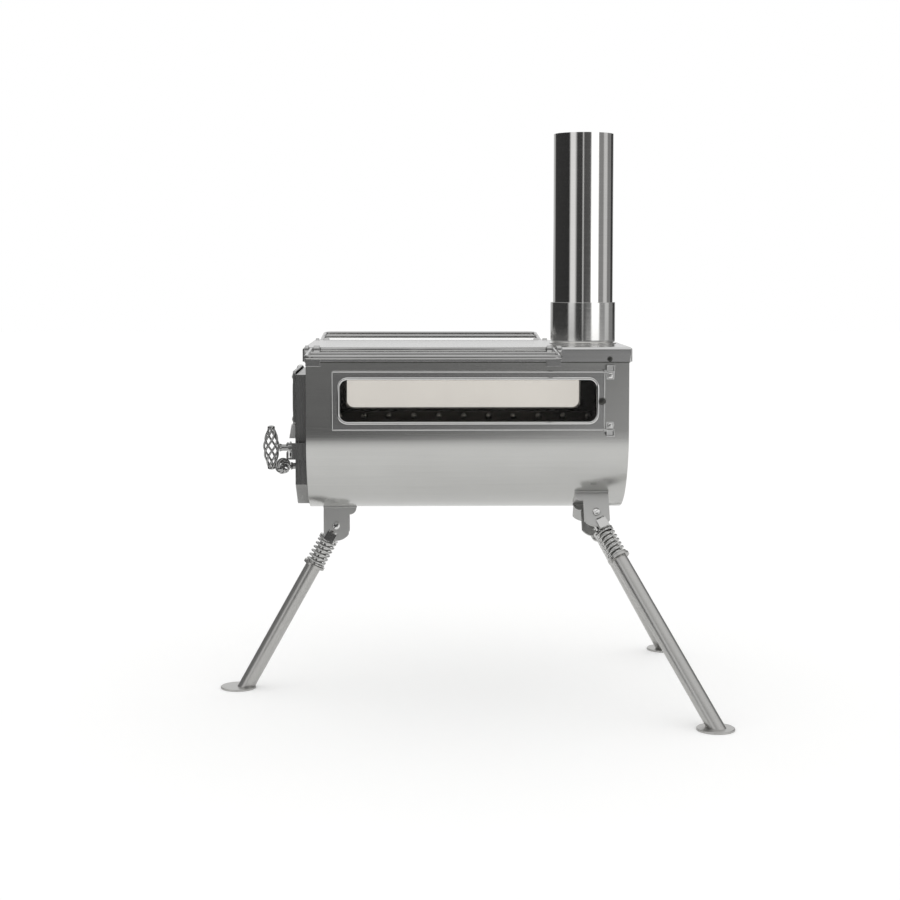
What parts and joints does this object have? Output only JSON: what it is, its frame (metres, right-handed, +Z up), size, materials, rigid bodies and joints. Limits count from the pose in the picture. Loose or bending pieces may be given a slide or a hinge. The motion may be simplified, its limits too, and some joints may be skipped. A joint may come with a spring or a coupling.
{
  "type": "tent wood stove",
  "caption": "Portable steel wood stove for a tent: round-bottomed firebox with side windows, glazed door, flue pipe, folding side racks and folding tripod legs with sprung locks.",
  "frame": {"origin": "on the ground, below the firebox, 2 mm in front of its middle", "axes": "+X from the door towards the flue, +Y away from the near side, +Z up"},
  "size_m": [0.593, 0.4432, 0.6735],
  "materials": {
    "body_steel": "brushed, slightly darker along the upper wall",
    "top_steel": "fine brushed, nearly mirror-like",
    "flue_steel": "polished with fine lines around it",
    "door_steel": "brushed",
    "glass": "clear, faintly warm heat-proof glass",
    "gasket": "woven glass-fibre felt",
    "liner_steel": "dull, darkened by heat",
    "rack_steel": "bright drawn rod",
    "handle_steel": "polished wire and turned stems",
    "leg_steel": "satin tube and pressed brackets",
    "bright_steel": "bright plated small parts"
  },
  "bodies": {
    "stove_body": {"firebox_shell": "body_steel", "front_plate": "body_steel", "rear_plate": "body_steel", "top_plate": "top_steel", "flue_collar": "flue_steel", "window_frame_near": "door_steel", "window_frame_far": "door_steel", "window_glass_near": "glass", "window_glass_far": "glass", "window_gasket_near": "gasket", "window_gasket_far": "gasket", "window_clips_near": "door_steel", "window_clips_far": "door_steel", "side_liner_near": "liner_steel", "side_liner_far": "liner_steel", "fire_grate": "liner_steel", "rack_lugs_near": "rack_steel", "rack_lugs_far": "rack_steel", "latch_keeper": "door_steel", "hinge_leaf_upper": "door_steel", "hinge_leaf_lower": "door_steel", "hinge_pin_upper": "handle_steel", "hinge_pin_lower": "handle_steel", "leg_bracket_front": "leg_steel", "leg_bracket_rear_near": "leg_steel", "leg_bracket_rear_far": "leg_steel", "pivot_bolt_front": "bright_steel", "pivot_bolt_rear_near": "bright_steel", "pivot_bolt_rear_far": "bright_steel"},
    "door": {"door_panel": "door_steel", "door_window_frame": "door_steel", "door_glass": "glass", "door_retainer": "door_steel", "door_strap_upper": "door_steel", "door_strap_lower": "door_steel", "vent_hood": "door_steel"},
    "latch": {"latch_stem": "handle_steel", "latch_basket": "handle_steel"},
    "damper": {"damper_disc": "handle_steel", "damper_basket": "handle_steel"},
    "rack_near": {"rack_near": "rack_steel"},
    "rack_far": {"rack_far": "rack_steel"},
    "flue": {"flue_pipe": "flue_steel"},
    "leg_front": {"leg_rod_front": "bright_steel", "leg_tube_front": "leg_steel", "foot_front": "leg_steel", "lock_spring_front": "bright_steel"},
    "lock_front": {"lock_collar_front": "bright_steel"},
    "leg_rear_near": {"leg_rod_rear_near": "bright_steel", "leg_tube_rear_near": "leg_steel", "foot_rear_near": "leg_steel", "lock_spring_rear_near": "bright_steel"},
    "lock_rear_near": {"lock_collar_rear_near": "bright_steel"},
    "leg_rear_far": {"leg_rod_rear_far": "bright_steel", "leg_tube_rear_far": "leg_steel", "foot_rear_far": "leg_steel", "lock_spring_rear_far": "bright_steel"},
    "lock_rear_far": {"lock_collar_rear_far": "bright_steel"}
  },
  "joints": [
    {"name": "door_hinge", "type": "hinge", "parent": "stove_body", "child": "door", "pos_m": [-0.203, 0.082, 0.3275], "axis": [0, 0, -1], "range_deg": [0, 165]},
    {"name": "latch_turn", "type": "hinge", "parent": "door", "child": "latch", "pos_m": [-0.205, -0.068, 0.302], "axis": [-1, 0, 0], "range_deg": [0, 90]},
    {"name": "damper_turn", "type": "hinge", "parent": "door", "child": "damper", "pos_m": [-0.2005, 0, 0.2725], "axis": [-1, 0, 0], "range_deg": [0, 45]},
    {"name": "rack_near_fold", "type": "hinge", "parent": "stove_body", "child": "rack_near", "pos_m": [-0.0395, -0.1062, 0.419], "axis": [-1, 0, 0], "range_deg": [0, 145]},
    {"name": "rack_far_fold", "type": "hinge", "parent": "stove_body", "child": "rack_far", "pos_m": [-0.0395, 0.1062, 0.419], "axis": [1, 0, 0], "range_deg": [0, 139]},
    {"name": "flue_lift", "type": "slide", "parent": "stove_body", "child": "flue", "axis": [0, 0, 1], "range_m": [0, 0.05]},
    {"name": "leg_front_fold", "type": "hinge", "parent": "stove_body", "child": "leg_front", "pos_m": [-0.154, 0, 0.2015], "axis": [0, -1, 0], "range_deg": [0, 118]},
    {"name": "lock_front_slide", "type": "slide", "parent": "leg_front", "child": "lock_front", "axis": [-0.4878, 0, -0.8729], "range_m": [0, 0.007], "stiffness_N_per_m": 1500, "springref_m": -0.005, "deforming": ["lock_spring_front"]},
    {"name": "leg_rear_near_fold", "type": "hinge", "parent": "stove_body", "child": "leg_rear_near", "pos_m": [0.154, -0.06516, 0.2185], "axis": [0, 0.8508, -0.5255], "range_deg": [0, 108]},
    {"name": "lock_rear_near_slide", "type": "slide", "parent": "leg_rear_near", "child": "lock_rear_near", "axis": [0.432, -0.4739, -0.7673], "range_m": [0, 0.007], "stiffness_N_per_m": 1500, "springref_m": -0.005, "deforming": ["lock_spring_rear_near"]},
    {"name": "leg_rear_far_fold", "type": "hinge", "parent": "stove_body", "child": "leg_rear_far", "pos_m": [0.154, 0.06516, 0.2185], "axis": [0, 0.8508, 0.5255], "range_deg": [0, 108]},
    {"name": "lock_rear_far_slide", "type": "slide", "parent": "leg_rear_far", "child": "lock_rear_far", "axis": [0.432, 0.4739, -0.7673], "range_m": [0, 0.007], "stiffness_N_per_m": 1500, "springref_m": -0.005, "deforming": ["lock_spring_rear_far"]}
  ]
}
